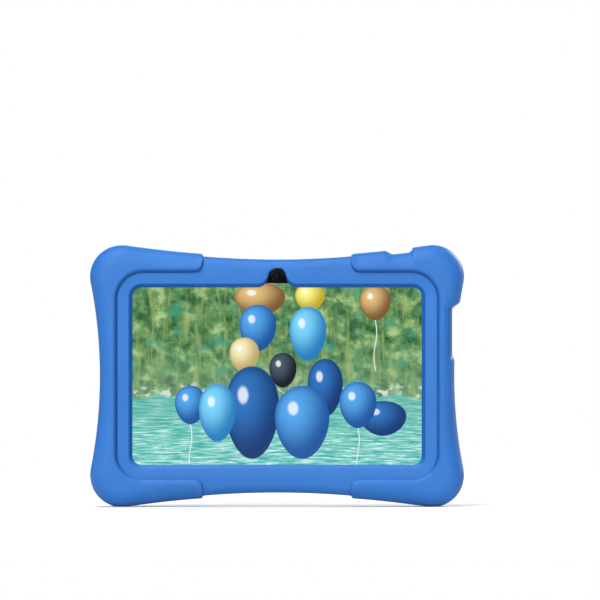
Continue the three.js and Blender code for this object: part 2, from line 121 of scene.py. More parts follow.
# ---- Outlines in the screen plane ----------------------------------------------------------------


def ellipse(cx, cy, rx, ry, start, end, steps):
    """Points of an elliptic arc between two angles in degrees."""
    turns = [math.radians(start + (end - start) * i / steps) for i in range(steps + 1)]
    return [(cx + rx * math.cos(t), cy + ry * math.sin(t)) for t in turns]


def arc(cx, cy, radius, start, end, steps):
    return ellipse(cx, cy, radius, radius, start, end, steps)


def four_quarters(quarter):
    """The closed outline whose upper right quarter runs from the right side to the top."""
    left = [(-x, v) for x, v in reversed(quarter)]
    below = [(-x, -v) for x, v in quarter]
    right = [(x, -v) for x, v in reversed(quarter)]
    loop = quarter + left + below + right
    return [p for i, p in enumerate(loop) if math.dist(p, loop[i - 1]) > 1e-6]


def rounded(half_x, half_v, radius, steps):
    """A rectangle with round corners."""
    return four_quarters(arc(half_x - radius, half_v - radius, radius, 0, 90, steps))


def slot(from_x, to_x, v, radius):
    """A long hole with half round ends."""
    return arc(to_x, v, radius, -90, 90, 20) + arc(from_x, v, radius, 90, 270, 20)


def waist_radius(waist, along, across):
    """Radius of the hollow curve through a waist that meets the corner circle smoothly."""
    square = along ** 2 + (waist - across) ** 2 - CORNER_RADIUS ** 2
    return square / (2 * (CORNER_RADIUS - (waist - across)))


def case_outline():
    """The whole case from the front: round corners and hollow sides."""
    x, v = CORNER
    side = waist_radius(SIDE_WAIST, v, x)
    top = waist_radius(TOP_WAIST, x, v)
    side_turn = math.degrees(math.atan2(v, SIDE_WAIST + side - x))
    top_turn = math.degrees(math.atan2(x, TOP_WAIST + top - v))
    quarter = arc(SIDE_WAIST + side, 0, side, 180, 180 - side_turn, 40)
    quarter += arc(x, v, CORNER_RADIUS, -side_turn, 90 + top_turn, 60)[1:-1]
    quarter += arc(0, TOP_WAIST + top, top, -90 + top_turn, -90, 40)
    return four_quarters(quarter)


def band_level(x):
    """Height of the top band's edge at one place across."""
    return BAND_WAIST + BAND_RADIUS - math.sqrt(BAND_RADIUS ** 2 - x ** 2)


def reach(outline, start, way):
    """How far a ray from a point inside an outline runs before it leaves it."""
    far = 0
    for (ax, av), (bx, bv) in zip(outline, outline[1:] + outline[:1]):
        ex, ev = bx - ax, bv - av
        cross = way[0] * ev - way[1] * ex
        if abs(cross) < 1e-12:
            continue
        along = ((ax - start[0]) * ev - (av - start[1]) * ex) / cross
        share = ((ax - start[0]) * way[1] - (av - start[1]) * way[0]) / cross
        if along > far and -1e-9 <= share <= 1 + 1e-9:
            far = along
    return far


def smooth(t):
    """A soft step from 0 to 1."""
    t = min(max(t, 0), 1)
    return t * t * (3 - 2 * t)


def steps_between(start, end, count):
    return [start + (end - start) * i / count for i in range(count + 1)]


# ---- Mesh making ---------------------------------------------------------------------------------


def point(x, y, v):
    return Vector((x, y, v + MIDDLE)) * MM


def tidy(mesh, crease):
    """Merges double points, turns the faces outwards and shades them, sharp where they meet steeply."""
    work = bmesh.new()
    work.from_mesh(mesh)
    bmesh.ops.remove_doubles(work, verts=work.verts, dist=1e-7)
    bmesh.ops.dissolve_degenerate(work, edges=work.edges, dist=1e-7)
    bmesh.ops.recalc_face_normals(work, faces=work.faces)
    work.to_mesh(mesh)
    work.free()
    mesh.shade_smooth()
    mesh.set_sharp_from_angle(angle=math.radians(crease))


def solid(name, points, faces, crease=32, painted_shades=()):
    """A closed mesh. The painted shades, 0 to 1, mark how deep each point lies in a groove or a corner, and
    so how much painted shade darkens its colour there.
    """
    mesh = bpy.data.meshes.new(name)
    mesh.from_pydata([point(*p) for p in points], [], faces)
    # painted shade: the marks are kept as a point attribute that the blue materials darken their colour by
    if painted_shades:
        mesh.attributes.new("painted_shade", "FLOAT", "POINT").data.foreach_set("value", painted_shades)
    tidy(mesh, crease)
    piece = bpy.data.objects.new(name, mesh)
    scene.collection.objects.link(piece)
    return piece


def sweep(name, stations, closed=False, crease=32, painted_shades=()):
    """A solid through a row of loops that all have the same number of points."""
    count = len(stations[0])
    points = [p for loop in stations for p in loop]
    faces = []
    for i in range(len(stations) if closed else len(stations) - 1):
        a = i * count
        b = (i + 1) % len(stations) * count
        for k in range(count):
            n = (k + 1) % count
            faces.append((a + k, a + n, b + n, b + k))
    if not closed:
        faces.append(tuple(range(count)))
        faces.append(tuple(range(len(points) - count, len(points))))
    return solid(name, points, faces, crease, [painted_shade for row in painted_shades for painted_shade in row])


def around(name, path, profile, crease=32):
    """A closed profile of (distance out, level) carried round a closed path of (centre, outward way)."""
    stations = []
    for (cx, cv), (nx, nv) in path:
        stations.append([(cx + nx * r, y, cv + nv * r) for r, y in profile])
    return sweep(name, stations, closed=True, crease=crease)


def circle_path(cx, cv, steps=120):
    ways = arc(0, 0, 1, 0, 360, steps)[:-1]
    return [((cx, cv), way) for way in ways]


def slot_path(from_x, to_x, v):
    right = [((to_x, v), way) for way in arc(0, 0, 1, -90, 90, 28)]
    left = [((from_x, v), way) for way in arc(0, 0, 1, 90, 270, 28)]
    return right + left


def prism(outline, front, back):
    """A cutter: an outline in the screen plane, from its front level to its back level."""
    return sweep("cutter", [[(x, level, v) for x, v in outline] for level in (front, back)])


def prism_x(outline, start, end):
    """A cutter along x, from an outline of (y, v)."""
    return sweep("cutter", [[(x, y, v) for y, v in outline] for x in (start, end)])


def plate(name, outline, front, back, bevel=0, holes=()):
    """A flat piece with rounded edges and holes."""
    curve = bpy.data.curves.new(name, "CURVE")
    curve.dimensions = "2D"
    curve.fill_mode = "BOTH"
    for loop in (outline, *holes):
        spline = curve.splines.new("POLY")
        spline.points.add(len(loop) - 1)
        for knot, (x, v) in zip(spline.points, loop):
            knot.co = (x, v, 0, 1)
        spline.use_cyclic_u = True
    curve.extrude = (back - front) / 2 - bevel
    curve.bevel_depth = bevel
    curve.bevel_resolution = 3
    curve.offset = -bevel
    holder = bpy.data.objects.new(name, curve)
    scene.collection.objects.link(holder)
    graph = bpy.context.evaluated_depsgraph_get()
    mesh = bpy.data.meshes.new_from_object(holder.evaluated_get(graph))
    bpy.data.objects.remove(holder)
    bpy.data.curves.remove(curve)
    for corner in mesh.vertices:
        x, v, y = corner.co
        corner.co = point(x, y + (front + back) / 2, v)
    tidy(mesh, 32)
    piece = bpy.data.objects.new(name, mesh)
    scene.collection.objects.link(piece)
    return piece


def carve(piece, cutters, crease=32, operation="DIFFERENCE"):
    """Cuts closed shapes out of a piece, or keeps what is inside them."""
    for cutter in cutters:
        tool = piece.modifiers.new("cut", "BOOLEAN")
        tool.operation = operation
        tool.solver = "EXACT"
        tool.object = cutter
        graph = bpy.context.evaluated_depsgraph_get()
        mesh = bpy.data.meshes.new_from_object(piece.evaluated_get(graph))
        piece.modifiers.clear()
        piece.data = mesh
        bpy.data.objects.remove(cutter)
    tidy(piece.data, crease)
    return piece


# ---- Materials -----------------------------------------------------------------------------------


class Tree:
    """Short calls for building one material's nodes."""

    def __init__(self, name):
        self.material = bpy.data.materials.new(name)
        self.material.use_nodes = True
        self.tree = self.material.node_tree
        self.shader = self.tree.nodes["Principled BSDF"]

    def put(self, socket, value):
        if isinstance(value, bpy.types.NodeSocket):
            self.tree.links.new(value, socket)
        else:
            socket.default_value = value

    def node(self, kind, inputs=(), **settings):
        made = self.tree.nodes.new(kind)
        for key, value in settings.items():
            setattr(made, key, value)
        for key, value in dict(inputs).items():
            self.put(made.inputs[key], value)
        return made

    def math(self, operation, a, b=0.0):
        return self.node("ShaderNodeMath", {0: a, 1: b}, operation=operation).outputs[0]

    def place(self):
        return self.node("ShaderNodeTexCoord").outputs["Object"]

    def scaled(self, place, scale):
        return self.node("ShaderNodeVectorMath", {0: place, 1: scale}, operation="MULTIPLY").outputs[0]

    def noise(self, place, scale, detail=3.0, roughness=0.55, distortion=0.0):
        made = self.node("ShaderNodeTexNoise", {
            "Vector": place, "Scale": scale, "Detail": detail,
            "Roughness": roughness, "Distortion": distortion,
        })
        return made.outputs["Fac"]

    def ramp(self, value, stops):
        made = self.node("ShaderNodeValToRGB", {"Fac": value})
        elements = made.color_ramp.elements
        for i, (at, colour) in enumerate(stops):
            element = elements[i] if i < 2 else elements.new(at)
            element.position = at
            element.color = (*colour, 1)
        return made.outputs["Color"]

    def mix(self, share, a, b):
        made = self.node("ShaderNodeMix", data_type="RGBA")
        self.put(made.inputs["Factor"], share)
        self.put(made.inputs["A"], (*a, 1) if isinstance(a, tuple) else a)
        self.put(made.inputs["B"], (*b, 1) if isinstance(b, tuple) else b)
        return made.outputs["Result"]

    def span(self, value, low, high, to_low=0.0, to_high=1.0):
        made = self.node("ShaderNodeMapRange", {
            "Value": value, "From Min": low, "From Max": high, "To Min": to_low, "To Max": to_high,
        }, interpolation_type="SMOOTHSTEP")
        return made.outputs["Result"]

    def bump(self, height, strength, distance, under=None):
        made = self.node("ShaderNodeBump", {"Height": height, "Strength": strength, "Distance": distance})
        if under is not None:
            self.put(made.inputs["Normal"], under)
        return made.outputs["Normal"]


def neighbours(colour, share):
    """A darker and a lighter neighbour of a colour."""
    dark = tuple(c * (1 - share) for c in colour)
    light = tuple(min(c * (1 + share), 1) for c in colour)
    return dark, light


def moulded(name, colour, roughness, variation=0.05, grain=2200, relief=0.05, metallic=0.0, specular=0.5,
            coat=0.0, depth=0.0):
    """A moulded or pressed surface: slow drifts of colour and gloss, and a fine grain.

    The depth says how much painted shade darkens the colour where the mesh's painted shade attribute marks a
    groove.
    """
    t = Tree(name)
    place = t.place()
    dark, light = neighbours(colour, variation)
    tint = t.ramp(t.noise(place, 28, 2), [(0.3, dark), (0.7, light)])
    # painted shade: where the mesh marks grooves, seams and the screen lip, the colour goes to a deeper,
    # darker blue that stands in for the shade falling there
    if depth:
        painted_shade_mask = t.node("ShaderNodeAttribute", attribute_name="painted_shade").outputs["Fac"]
        painted_shade_colour = (colour[0] * 0.2, colour[1] * (1 - depth), colour[2] * (1 - 0.75 * depth))
        tint = t.mix(painted_shade_mask, tint, painted_shade_colour)
    t.put(t.shader.inputs["Base Color"], tint)
    gloss = t.noise(place, 160, 3)
    t.put(t.shader.inputs["Roughness"], t.span(gloss, 0.3, 0.7, roughness - 0.05, roughness + 0.05))
    waves = t.bump(t.noise(place, 120, 2), 0.06, 0.0004)
    t.put(t.shader.inputs["Normal"], t.bump(t.noise(place, grain, 2, 0.6), relief, 0.0002, waves))
    t.shader.inputs["Metallic"].default_value = metallic
    t.shader.inputs["Specular IOR Level"].default_value = specular
    t.shader.inputs["Coat Weight"].default_value = coat
    t.shader.inputs["Coat Roughness"].default_value = 0.15
    return t.material


MATERIALS = {
    # the two case blues take painted shade (depth) in their grooves and on the screen lip
    "case_blue": moulded("case_silicone", (0.019, 0.118, 0.378), 0.52, relief=0.02, specular=0.2,
                         depth=0.45),
    "grip_blue": moulded("grip_silicone", (0.019, 0.116, 0.373), 0.52, relief=0.02, specular=0.2,
                         depth=0.5),
    "stand_blue": moulded("stand_plastic", (0.005, 0.096, 0.345), 0.4, grain=1500, relief=0.03,
                          specular=0.3),
    "ring_yellow": moulded("ring_plastic", (0.68, 0.61, 0.08), 0.4, variation=0.03, grain=900, relief=0.03),
    "steel": moulded("brushed_steel", (0.55, 0.56, 0.58), 0.3, grain=3000, metallic=1.0),
    "nylon": moulded("white_nylon", (0.6, 0.59, 0.54), 0.45),
    "black_plastic": moulded("black_plastic", (0.003, 0.0035, 0.006), 0.45, variation=0.2, grain=2600,
                             specular=0.14),
    "black_gloss": moulded("black_gloss", (0.0012, 0.0012, 0.0025), 0.14, variation=0.3, relief=0.004,
                           specular=0.1),
    "screen_glass": moulded("border_glass", (0.0015, 0.0015, 0.002), 0.07, variation=0.3, relief=0.002,
                            specular=0.2),
    "display": moulded("display_back", (0.06, 0.16, 0.12), 0.3),
    "white_sheet": moulded("white_film", (0.7, 0.7, 0.66), 0.5),
    "board": moulded("green_board", (0.01, 0.1, 0.04), 0.45, variation=0.15),
    "battery_foil": moulded("battery_foil", (0.35, 0.36, 0.38), 0.34, metallic=0.6),
    "brass": moulded("brass", (0.55, 0.38, 0.1), 0.3, metallic=1.0),
    "lamp_amber": moulded("lamp_lens", (0.3, 0.16, 0.06), 0.2, grain=6000, relief=0.25, coat=0.6),
}


def wallpaper():
    """The lit picture: a leafy lagoon out of focus, with party balloons drifting over the water."""
    t = Tree("lit_picture")
    place = t.node("ShaderNodeSeparateXYZ", {0: t.place()})
    x = t.math("DIVIDE", place.outputs["X"], MM)
    v = t.math("SUBTRACT", t.math("DIVIDE", place.outputs["Z"], MM), MIDDLE)
    flat = t.node("ShaderNodeCombineXYZ", {"X": x, "Y": v}).outputs[0]

    # foliage
    leaves = t.noise(flat, 0.14, 6, 0.58, 0.15)
    green = t.ramp(leaves, [(0.3, (0.012, 0.06, 0.025)), (0.42, (0.05, 0.16, 0.06)),
                            (0.54, (0.14, 0.3, 0.11)), (0.68, (0.42, 0.58, 0.26))])
    trunks = t.noise(t.scaled(flat, (1.6, 0.22, 1)), 0.14, 4, 0.6, 0.4)
    green = t.mix(t.span(trunks, 0.5, 0.66, 0, 0.75), green, (0.3, 0.4, 0.13))
    cool = t.noise(t.scaled(flat, (0.9, 1.1, 1)), 0.09, 3)
    green = t.mix(t.span(cool, 0.52, 0.68, 0, 0.7), green, (0.05, 0.33, 0.2))
    haze = t.span(v, -12, 26, 0.26, 0.0)
    green = t.mix(haze, green, (0.3, 0.5, 0.3))

    # water
    ripples = t.noise(t.scaled(flat, (0.12, 1.5, 1)), 0.75, 4, 0.65, 0.25)
    water = t.ramp(ripples, [(0.35, (0.035, 0.34, 0.32)), (0.5, (0.17, 0.58, 0.52)),
                             (0.66, (0.72, 0.93, 0.9))])
    depth = t.span(v, -40, -12, 0.0, 0.6)
    water = t.mix(depth, water, (0.1, 0.42, 0.33))
    shore = t.math("ADD", v, t.span(t.noise(flat, 0.12, 3), 0.3, 0.7, -1.6, 1.6))
    picture = t.mix(t.span(shore, -11.4, -9.6), water, green)
    mist = t.math("MULTIPLY", t.span(shore, -12.5, -9.5), t.span(shore, -2, -8))
    stones = t.span(t.noise(t.scaled(flat, (1, 1.4, 1)), 0.2, 3), 0.52, 0.62)
    picture = t.mix(t.math("MULTIPLY", mist, stones), picture, (0.62, 0.72, 0.6))

    def length(a, b):
        return t.math("SQRT", t.math("ADD", t.math("MULTIPLY", a, a), t.math("MULTIPLY", b, b)))

    def balloon(picture, cx, cv, rx, rv, dark, light, string=0):
        """Paints one balloon, and a string of some length under it, over the picture so far."""
        up = t.math("DIVIDE", t.math("SUBTRACT", v, cv), rv)
        taper = t.math("ADD", 1, t.math("MULTIPLY", up, 0.13))
        side = t.math("DIVIDE", t.math("DIVIDE", t.math("SUBTRACT", x, cx), rx), taper)
        round_ = length(side, up)
        lit = length(t.math("ADD", side, 0.32), t.math("SUBTRACT", up, 0.38))
        body = t.mix(t.span(lit, 0.1, 1.35), light, dark)
        body = t.mix(t.span(lit, 0.24, 0.12, 0, 0.75), body, (0.9, 0.95, 1.0))
        body = t.mix(t.span(round_, 0.8, 1.0, 0, 0.5), body, dark)
        if string:
            drop = t.math("SUBTRACT", cv - rv, v)
            sway = t.math("MULTIPLY", t.math("SINE", t.math("MULTIPLY", drop, 0.25)), 0.7)
            off = t.math("ABSOLUTE", t.math("SUBTRACT", t.math("SUBTRACT", x, cx), sway))
            thin = t.math("MULTIPLY", t.span(off, 0.32, 0.14), t.span(drop, -0.4, 0.2))
            picture = t.mix(t.math("MULTIPLY", thin, t.span(drop, string + 1, string)), picture,
                            (0.8, 0.85, 0.85))
        return t.mix(t.span(round_, 1.02, 0.985), picture, body)

    navy = ((0.006, 0.04, 0.17), (0.03, 0.17, 0.5))
    blue = ((0.012, 0.09, 0.33), (0.09, 0.38, 0.82))
    sky = ((0.02, 0.2, 0.5), (0.2, 0.66, 0.95))
    tan = ((0.2, 0.1, 0.03), (0.75, 0.5, 0.2))
    cream = ((0.5, 0.38, 0.14), (0.92, 0.82, 0.5))
    yellow = ((0.5, 0.4, 0.02), (0.98, 0.9, 0.25))
    slate = ((0.008, 0.012, 0.02), (0.07, 0.1, 0.14))
    for cx, cv, rx, rv, tones, string in (
        (17, 41, 7.5, 7, yellow, 0),
        (51, 38, 8, 9, tan, 26),
        (-9, 40, 13, 8.5, tan, 0),
        (-10, 25, 9.5, 12, blue, 0),
        (16, 22, 9.5, 14, sky, 0),
        (-17, 11, 7.5, 9, cream, 0),
        (3, 3, 7, 9, slate, 0),
        (25, -6, 9, 15, navy, 0),
        (-13, -19, 14, 24, navy, 0),
        (-45, -15, 8, 10, blue, 20),
        (-31, -19, 9.5, 15, sky, 0),
        (13, -24, 14, 19, blue, 0),
        (55, -22, 12, 9, navy, 0),
        (42, -15, 9.5, 12, blue, 26),
    ):
        picture = balloon(picture, cx, cv, rx, rv, *tones, string)

    t.put(t.shader.inputs["Emission Color"], picture)
    t.shader.inputs["Emission Strength"].default_value = 1.0
    t.put(t.shader.inputs["Base Color"], t.mix(0.97, picture, (0.0, 0.0, 0.0)))
    t.put(t.shader.inputs["Roughness"], t.span(t.noise(flat, 0.4), 0.3, 0.7, 0.1, 0.14))
    t.put(t.shader.inputs["Normal"], t.bump(t.noise(flat, 4.0), 0.01, 0.0001))
    t.shader.inputs["Specular IOR Level"].default_value = 0.25
    return t.material


def dress(piece, body, slot_name, *nodes, material=None):
    """Gives a piece its finish and its body, and hides the CAD nodes that it stands for."""
    piece.data.materials.clear()
    piece.data.materials.append(material or MATERIALS[slot_name])
    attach(piece, body)
    if nodes:
        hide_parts(*nodes)
    return piece


# ---- Cutters for the openings in the right side and the top edge ---------------------------------

JACK_LOW, JACK_HIGH = span("headphone_jack")
JACK_Y = (JACK_LOW[1] + JACK_HIGH[1]) / 2
JACK_V = (JACK_LOW[2] + JACK_HIGH[2]) / 2
JACK_RADIUS = 3.6
PORT_LOW, PORT_HIGH = (-8.8, 9.5), (-1, 36)       # level and height of the socket window's corners
PORT_ROUND = 2
CUT_END_X = 100                                   # past the case's side
SPEAKER_LOW, SPEAKER_HIGH = span("speaker")
SPEAKER_V = (SPEAKER_LOW[2] + SPEAKER_HIGH[2]) / 2


def key_place(node):
    low, high = span(node)
    return (low[0] + high[0]) / 2, (low[1] + high[1]) / 2


def port_cutter(start):
    """The window over the socket and the card slot."""
    (y0, v0), (y1, v1) = PORT_LOW, PORT_HIGH
    outline = []
    for cy, cv, turn in ((y1, v1, 0), (y0, v1, 90), (y0, v0, 180), (y1, v0, 270)):
        sy = -PORT_ROUND if cy == y1 else PORT_ROUND
        sv = -PORT_ROUND if cv == v1 else PORT_ROUND
        outline += arc(cy + sy, cv + sv, PORT_ROUND, turn, turn + 90, 6)
    return prism_x(outline, start, CUT_END_X)


def jack_cutter(start):
    return prism_x(arc(JACK_Y, JACK_V, JACK_RADIUS, 0, 360, 40)[:-1], start, CUT_END_X)


def scoop_cutter(from_x, front, half_v):
    """The hollow before the speaker, open to the right side and the back."""
    half_x = 10
    outline = [(x + from_x + half_x, v + SPEAKER_V) for x, v in rounded(half_x, half_v, 5, 8)]
    return prism(outline, front, 20)


def key_cutter(x, half_x, y, half_y, cut, bottom, slope, top):
    """An eight sided funnel down through the top edge, straight up to a level and then wider by the slope."""
    def ring(grow, level):
        hx, hy = half_x + grow, half_y + grow
        corners = [(hx, hy - cut), (hx - cut, hy), (cut - hx, hy), (-hx, hy - cut),
                   (-hx, cut - hy), (cut - hx, -hy), (hx - cut, -hy), (hx, cut - hy)]
        return [(x + px, y + py, level) for px, py in corners]
    return sweep("cutter", [ring(0, bottom), ring(0, top), ring(slope, top + 7)])


# ---- Grips ---------------------------------------------------------------------------------------

CASE_LOOP = case_outline()
FRONT_LOOP = rounded(*GRIP_FRONT_INNER, 40)
BACK_LOOP = rounded(*GRIP_BACK_INNER, 40)
WALL_LOOP = rounded(*(size + 0.3 for size in TRAY_WALL), 24)     # a little clear of the tray
FAN = (69.5, 40.8)                     # centre that the grip's rays turn about at each corner
END_STEPS = (0, 0.05, 0.15, 0.3, 0.5, 0.75, 1, 1.3, 1.7, 2.2, 2.8, 3.5, 4.4, 5.6, 7)
END_ROUND = 1.2                        # of the edges round the grip's end
PAD_CORNER, BACK_CORNER = 4.4, 2       # of the end's inner corners, at the front and at the back
EDGE_ROUND = (2.5, 1.6)                # width and depth of the round down to the tray's front
BACK_EDGE_ROUND = (1.8, 1.6)           # and down to its back
FRONT_ROUND_Y, BACK_ROUND_Y = 7.5, 8   # depth of the two rounds of the outer edge
EDGE_STEPS, FRONT_STEPS, BACK_STEPS = 6, 10, 12
STEP_V = ((7.8, 3.4), (34.6, 4))       # where the step beside the sockets begins and how long each end takes
DIP_X = ((55.8, 4.6), (67.4, 6.6))     # the same for the dip over the volume key
DIP_DEPTH = 2.3
GRIP_BASE_FRONT, GRIP_BASE_BACK = -11.7, 9.4      # the levels where the section closes, inside the tray
NEVER = 99                             # stands for a distance that is past every round


def grip_rays():
    """Rays round the upper half of a grip: start, way, and distance from the grip's end."""
    rays = [((GRIP_END + e, FAN[1]), (0, 1), e) for e in END_STEPS]
    start = GRIP_END + END_STEPS[-1]
    rays += [((x, FAN[1]), (0, 1), x - GRIP_END) for x in steps_between(start, FAN[0], 24)[1:-1]]
    rays += [(FAN, way, NEVER) for way in arc(0, 0, 1, 90, 0, 32)]
    rays += [((FAN[0], v), (1, 0), NEVER) for v in steps_between(FAN[1], 0, 44)[1:]]
    return rays


def ease_in(size, distance):
    """How far a round of a given size has drawn in at a distance from its end."""
    if distance >= size:
        return 0
    return size - math.sqrt(size ** 2 - (size - distance) ** 2)


def grip_section(front_in, back_in, wall, outer, tuck):
    """The grip's section as (distance out, level): over the tray's front edge, round and over its back."""
    front, back = FRONT + tuck, BACK - tuck
    edge_x, edge_y = EDGE_ROUND
    back_x, back_y = BACK_EDGE_ROUND
    front_round = min(8.5, 0.95 * (outer - front_in - edge_x))
    back_round = min(9, 0.6 * (outer - back_in))
    section = [(front_in, GRIP_BASE_FRONT)]
    section += ellipse(front_in + edge_x, front + edge_y, edge_x, edge_y, 180, 270, EDGE_STEPS)
    section += ellipse(outer - front_round, front + FRONT_ROUND_Y, front_round, FRONT_ROUND_Y, 270, 360,
                       FRONT_STEPS)
    section += ellipse(outer - back_round, back - BACK_ROUND_Y, back_round, BACK_ROUND_Y, 0, 90, BACK_STEPS)
    section += ellipse(back_in + back_x, back - back_y, back_x, back_y, 90, 180, EDGE_STEPS)
    return section + [(back_in, GRIP_BASE_BACK), (wall, GRIP_BASE_BACK), (wall, GRIP_BASE_FRONT)]


def grip_painted_shades(ray, upper):
    """Painted shade at both inner edges, beside the tray, but not where the edge looks up to the light."""
    light = 1 if upper else 1 - smooth(ray[1][1])
    edge = [1 - smooth((i / EDGE_STEPS - 0.55) / 0.45) for i in range(EDGE_STEPS + 1)]
    front = [painted_shade * light for painted_shade in edge]
    back = [0.7 * painted_shade for painted_shade in reversed(edge)]
    outer = [0] * (FRONT_STEPS + 1 + BACK_STEPS + 1)
    return [1] + front + outer + back + [1, 1, 1]


def raised_between(place, rise, fall):
    """A soft step up and down again, each given as the place where it begins and its length."""
    return smooth((place - rise[0]) / rise[1]) * (1 - smooth((place - fall[0]) / fall[1]))


def grip_loop(ray, side, upper):
    """The grip's section along one ray, mirrored to its side and half. It stays above the floor."""
    start, way, from_end = ray
    (sx, sv), (wx, wv) = start, way
    tuck = ease_in(END_ROUND, from_end)
    outer = reach(CASE_LOOP, start, way) - tuck
    if side > 0 and upper and wx == 1:
        outer -= raised_between(sv, *STEP_V) * (outer - (SIDE_STEP_X - sx))
    if side > 0 and upper and wv == 1:
        outer -= raised_between(sx, *DIP_X) * DIP_DEPTH
    front_in = reach(FRONT_LOOP, start, way) + ease_in(PAD_CORNER, from_end) + tuck
    back_in = reach(BACK_LOOP, start, way) + ease_in(BACK_CORNER, from_end) + tuck
    wall = reach(WALL_LOOP, start, way)
    loop = []
    for distance, y in grip_section(front_in, back_in, wall, outer, tuck):
        x = side * (sx + wx * distance)
        v = sv + wv * distance
        loop.append((x, y, v if upper else max(-v, FOOT)))
    return loop


def make_grip(name, side):
    rays = grip_rays()
    order = [(ray, True) for ray in rays] + [(ray, False) for ray in reversed(rays[:-1])]
    loops = [grip_loop(ray, side, upper) for ray, upper in order]
    return sweep(name, loops, painted_shades=[grip_painted_shades(ray, upper) for ray, upper in order])


left_grip = make_grip("left_grip_skin", -1)
right_grip = make_grip("right_grip_skin", 1)
power_x, key_y = key_place("power_button")
volume_x, _ = key_place("volume_rocker")
carve(right_grip, [
    port_cutter(86),
    jack_cutter(80),
    key_cutter(volume_x, 6.6, y=-1.4, half_y=4.5, cut=2.4, bottom=50, slope=1.2, top=62),
    key_cutter(power_x, 3.4, y=-1.9, half_y=4.2, cut=1.3, bottom=50, slope=1.0, top=62),
    scoop_cutter(81.5, -4, 13.5),
])
dress(left_grip, "case", "grip_blue", "left_grip")
dress(right_grip, "case", "grip_blue", "right_grip")

# ---- Tray: the bezel round the screen, the walls and the bands between the grips -----------------


def bezier(a, b, c, d, steps):
    """Points of a curve from a to d that leaves and arrives along b and c."""
    points = []
    for i in range(steps + 1):
        t = i / steps
        s = 1 - t
        points.append(tuple(s ** 3 * p + 3 * s * s * t * q + 3 * s * t * t * r + t ** 3 * w
                            for p, q, r, w in zip(a, b, c, d)))
    return points


NOTCH_JOIN = 13                        # how far along the edge the rays from the notch spread


def notch_half():
    """The right half of the notch above the screen, from its top to the window's edge."""
    half_v = WINDOW[1]
    cap = arc(0, EYE_V, EYE_RADIUS, 90, 0, 12)
    flank = bezier((EYE_RADIUS, EYE_V), (5, half_v + 3.6), (6.4, half_v + 0.2), (EYE_FLARE, half_v), 14)
    return cap + flank[1:]


def outward(points, i):
    """The way away from the opening at one point of its edge, where the edge runs clockwise."""
    (ax, av), (bx, bv) = points[max(i - 1, 0)], points[min(i + 1, len(points) - 1)]
    length = math.dist((ax, av), (bx, bv))
    return -(bv - av) / length, (bx - ax) / length


def window_half(upper):
    """Edge point, outward way, slope width, and the outer ray's start and way, down the right half."""
    half_x, half_v, radius = WINDOW
    cx, cv = half_x - radius, half_v - radius
    rows = []
    join = NOTCH_JOIN
    if upper:
        notch = notch_half()
        lengths = [0]
        for p, q in zip(notch, notch[1:]):
            lengths.append(lengths[-1] + math.dist(p, q))
        for i, p in enumerate(notch):
            out = outward(notch, i) if i else (0, 1)
            widening = smooth((lengths[i] - 8) / (lengths[-1] - 8))
            width = NOTCH_LIP_WIDTH + (LIP_WIDTH - NOTCH_LIP_WIDTH) * widening
            rows.append((p, out, width, (join * lengths[i] / lengths[-1], cv), (0, 1)))
        first = EYE_FLARE
    else:
        rows.append(((0, half_v), (0, 1), LIP_WIDTH, (0, cv), (0, 1)))
        first = 0
        join = 0
    for x in steps_between(first, cx, 26)[1:-1]:
        outer_x = join + (x - first) * (cx - join) / (cx - first)
        rows.append(((x, half_v), (0, 1), LIP_WIDTH, (outer_x, cv), (0, 1)))
    for way in arc(0, 0, 1, 90, 0, 16):
        rows.append(((cx + radius * way[0], cv + radius * way[1]), way, LIP_WIDTH, (cx, cv), way))
    for v in steps_between(cv, 0, 12)[1:]:
        rows.append(((half_x, v), (1, 0), LIP_WIDTH, (cx, v), (1, 0)))
    return rows


# the lip that slopes down to the screen: share of its width, level and painted shade
LIP = ((0, -9.95, 1), (0, -10.2, 1), (0.3, -10.72, 1), (0.6, -11.24, 1), (0.8, -11.58, 0.9),
       (0.9, -11.7, 0.5), (1, -11.75, 0))
TRAY_LOOP = rounded(*TRAY_WALL, 24)
CAVITY_LOOP = rounded(*CAVITY, 24)
RIDGE_LOOP = rounded(*RIDGE, 24)


def tray_section(start, way, band):
    """The tray's section from the bezel outwards, round the edge and back in, as (distance, level)."""
    wall = reach(CAVITY_LOOP, start, way)
    ridge = reach(RIDGE_LOOP, start, way)
    if band:
        outer = band_level(start[0]) - start[1]
        section = ellipse(outer - 4.5, TRAY_FRONT + 4.5, 4.5, 4.5, 270, 360, 8)
        section += ellipse(outer - 5, BAND_BACK - 5, 5, 5, 0, 90, 8)
        section += ellipse(ridge + 0.9, BAND_BACK - 0.9, 0.9, 0.9, 90, 180, 3)
    else:
        outer = reach(TRAY_LOOP, start, way)
        section = ellipse(outer - 0.6, TRAY_FRONT + 0.6, 0.6, 0.6, 270, 360, 8)
        section += ellipse(outer - 0.6, TRAY_BACK - 0.6, 0.6, 0.6, 0, 90, 8)
        section += ellipse(ridge + 0.6, TRAY_BACK - 0.3, 0.6, 0.3, 90, 180, 3)
    return section + [(ridge, 1), (wall, 1), (wall, -10)]


def tray_loop(row, band, sx, sv):
    """One station of the tray, mirrored to its quarter by the signs sx and sv."""
    (ox, ov), (nx, nv), width, start, way = row
    loop = []
    for share, y, _ in LIP:
        loop.append((ox + nx * width * share, y, ov + nv * width * share))
    for distance, y in tray_section(start, way, band):
        loop.append((start[0] + way[0] * distance, y, start[1] + way[1] * distance))
    return [(sx * x, y, sv * v) for x, y, v in loop]


def tray_painted_shades(loop):
    """Painted shade on the lip round the screen, but not along the bottom, where the lip looks up to the
    light.
    """
    rise = (loop[len(LIP) - 1][2] - loop[0][2]) / LIP_WIDTH
    light = 1 - smooth(-rise)
    lip = [painted_shade * light for _, _, painted_shade in LIP]
    return lip + [0] * (len(loop) - len(lip) - 3) + [0.5, 1, 1]


